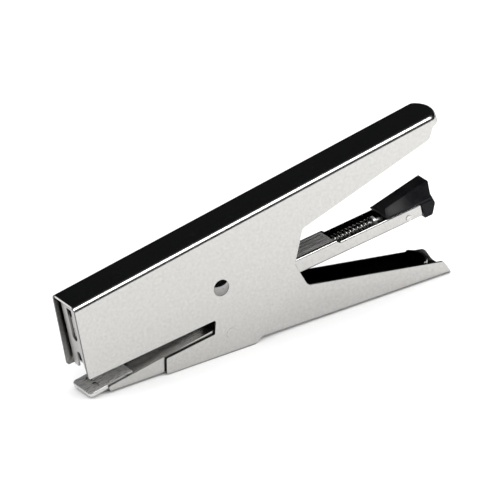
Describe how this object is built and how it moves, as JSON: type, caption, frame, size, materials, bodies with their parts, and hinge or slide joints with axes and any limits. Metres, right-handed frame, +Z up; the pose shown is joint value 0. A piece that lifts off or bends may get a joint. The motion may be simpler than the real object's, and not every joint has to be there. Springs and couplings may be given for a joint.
{
  "type": "stapling plier",
  "caption": "Hand-held sheet steel stapling plier with sprung handles, hinged magazine, driver blade, anvil arm and a sliding spring-loaded staple loader.",
  "frame": {"origin": "middle of the overall box, on the surface it stands on", "axes": "+X runs from the jaw to the rear of the handles, +Z up, Y across the width with Y = 0 the symmetry plane"},
  "size_m": [0.1678, 0.0198, 0.0694],
  "materials": {
    "nickel_chrome_sheet": "satin nickel and chrome plate",
    "nose_steel": "satin",
    "hardened_steel": "satin",
    "polished_pin": "polished",
    "staple_wire": "bright zinc",
    "spring_wire": "oiled spring steel",
    "black_plastic": "gloss"
  },
  "bodies": {
    "frame": {"upper_frame": "nickel_chrome_sheet", "anvil_arm": "nickel_chrome_sheet", "anvil_cover_strip": "nickel_chrome_sheet", "anvil_plate": "hardened_steel", "anvil_rivet": "hardened_steel", "arm_pin": "nickel_chrome_sheet", "pivot_pin": "polished_pin"},
    "magazine": {"magazine_channel": "nickel_chrome_sheet", "nose_plate": "nose_steel", "magazine_cover": "hardened_steel", "staple_strip": "staple_wire", "magazine_rivets": "hardened_steel", "pivot_bush": "hardened_steel", "pivot_washers": "hardened_steel"},
    "lever": {"lower_handle": "nickel_chrome_sheet", "driver_pin": "hardened_steel", "lever_spacer": "hardened_steel", "handle_spring": "spring_wire"},
    "blade": {"driver_blade": "hardened_steel"},
    "loader": {"knob": "black_plastic", "knob_pin": "hardened_steel", "guide_rod": "hardened_steel", "spring_seat": "hardened_steel", "pusher_spring": "spring_wire"},
    "pusher": {"pusher": "hardened_steel"}
  },
  "joints": [
    {"name": "magazine_hinge", "type": "hinge", "parent": "frame", "child": "magazine", "pos_m": [-0.02041, 0, 0.02822], "axis": [0, -1, 0], "range_deg": [0, 6.5], "stiffness_Nm_per_rad": 1, "springref_deg": -11.46},
    {"name": "lever_hinge", "type": "hinge", "parent": "magazine", "child": "lever", "pos_m": [-0.02041, 0, 0.02822], "axis": [0, -1, 0], "range_deg": [0, 6.4], "stiffness_Nm_per_rad": 1.5, "springref_deg": -8.59, "deforming": ["handle_spring"]},
    {"name": "blade_slide", "type": "slide", "parent": "magazine", "child": "blade", "axis": [0.1087, 0, -0.9941], "range_m": [0, 0.0063]},
    {"name": "loader_slide", "type": "slide", "parent": "magazine", "child": "loader", "axis": [0.9941, 0, 0.1087], "range_m": [0, 0.075]},
    {"name": "pusher_slide", "type": "slide", "parent": "loader", "child": "pusher", "axis": [0.9941, 0, 0.1087], "range_m": [0, 0.024], "stiffness_N_per_m": 60, "springref_m": -0.03, "deforming": ["pusher_spring"]}
  ],
  "couplings": [
    {"joint": "blade_slide", "follows": "lever_hinge", "m_per_rad": 0.05473}
  ]
}
